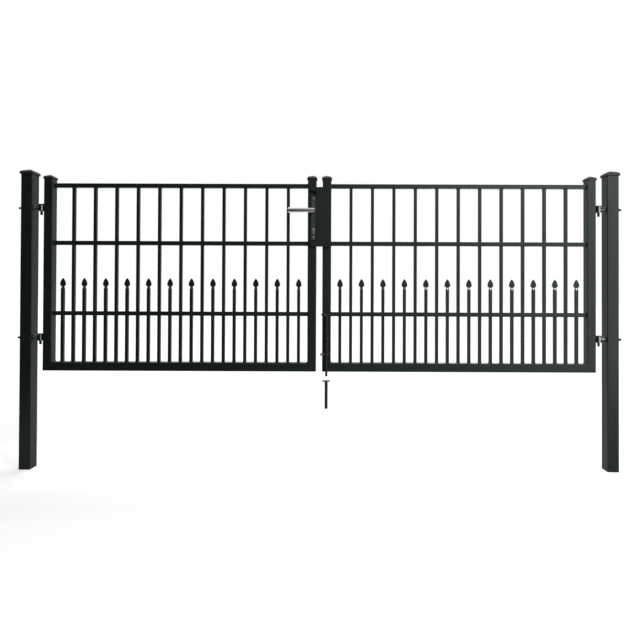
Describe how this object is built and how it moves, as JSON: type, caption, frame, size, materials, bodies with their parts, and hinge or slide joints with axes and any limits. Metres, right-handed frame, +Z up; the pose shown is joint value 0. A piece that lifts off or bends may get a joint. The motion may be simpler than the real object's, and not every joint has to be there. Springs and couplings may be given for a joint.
{
  "type": "double-leaf driveway gate",
  "caption": "Double-leaf driveway gate of square steel tube with spear-headed pickets, two posts on eyebolt hinges, lever lock and drop bolt.",
  "frame": {"origin": "middle of the left post's foot, on the plane of the feet", "axes": "+X along the gate from the left post to the right post, +Y towards the side the left leaf opens to, +Z up"},
  "size_m": [3.162, 0.14, 1.562],
  "materials": {
    "powder_coat": "satin anthracite powder coat on steel",
    "cap_plastic": "moulded black plastic",
    "zinc_steel": "dark passivated zinc plate on steel",
    "lever_steel": "polished steel",
    "lock_plate": "satin grey anodised",
    "key_nickel": "satin nickel plate on brass"
  },
  "bodies": {
    "posts": {"left_post": "powder_coat", "right_post": "powder_coat", "left_post_cap": "cap_plastic", "right_post_cap": "cap_plastic", "left_eyebolts": "zinc_steel", "right_eyebolts": "zinc_steel", "left_hinge_nuts": "zinc_steel", "right_hinge_nuts": "zinc_steel", "left_tail_caps": "cap_plastic", "right_tail_caps": "cap_plastic", "ground_sleeve": "powder_coat"},
    "left_leaf": {"left_hinge_stile": "powder_coat", "left_meeting_stile": "powder_coat", "left_bottom_rail": "powder_coat", "left_lower_rail": "powder_coat", "left_upper_rail": "powder_coat", "left_top_rail": "powder_coat", "left_long_pickets": "powder_coat", "left_spear_pickets": "powder_coat", "left_stile_caps": "cap_plastic", "left_hinge_brackets": "powder_coat", "front_backplate": "lock_plate", "back_backplate": "lock_plate", "key_cylinder": "key_nickel", "lock_forend": "zinc_steel", "back_knob": "lever_steel"},
    "right_leaf": {"right_hinge_stile": "powder_coat", "right_meeting_stile": "powder_coat", "right_bottom_rail": "powder_coat", "right_lower_rail": "powder_coat", "right_upper_rail": "powder_coat", "right_top_rail": "powder_coat", "right_long_pickets": "powder_coat", "right_spear_pickets": "powder_coat", "right_stile_caps": "cap_plastic", "right_hinge_brackets": "powder_coat", "stop_plate": "powder_coat", "stop_packing": "powder_coat", "strike_plate": "zinc_steel", "drop_bolt_guides": "powder_coat", "clamp_screw": "zinc_steel"},
    "handle": {"front_lever": "lever_steel", "spindle": "zinc_steel"},
    "drop_bolt": {"drop_rod": "powder_coat"}
  },
  "joints": [
    {"name": "left_leaf_swing", "type": "hinge", "parent": "posts", "child": "left_leaf", "pos_m": [0.061, 0, 1.019], "axis": [0, 0, 1], "range_deg": [0, 90]},
    {"name": "right_leaf_swing", "type": "hinge", "parent": "posts", "child": "right_leaf", "pos_m": [2.981, 0, 1.019], "axis": [0, 0, 1], "range_deg": [0, 90]},
    {"name": "lever_turn", "type": "hinge", "parent": "left_leaf", "child": "handle", "pos_m": [1.49, 0, 1.342], "axis": [0, -1, 0], "range_deg": [0, 40], "stiffness_Nm_per_rad": 2, "springref_deg": -22.92},
    {"name": "drop_bolt_slide", "type": "slide", "parent": "right_leaf", "child": "drop_bolt", "axis": [0, 0, -1], "range_m": [0, 0.085]}
  ]
}
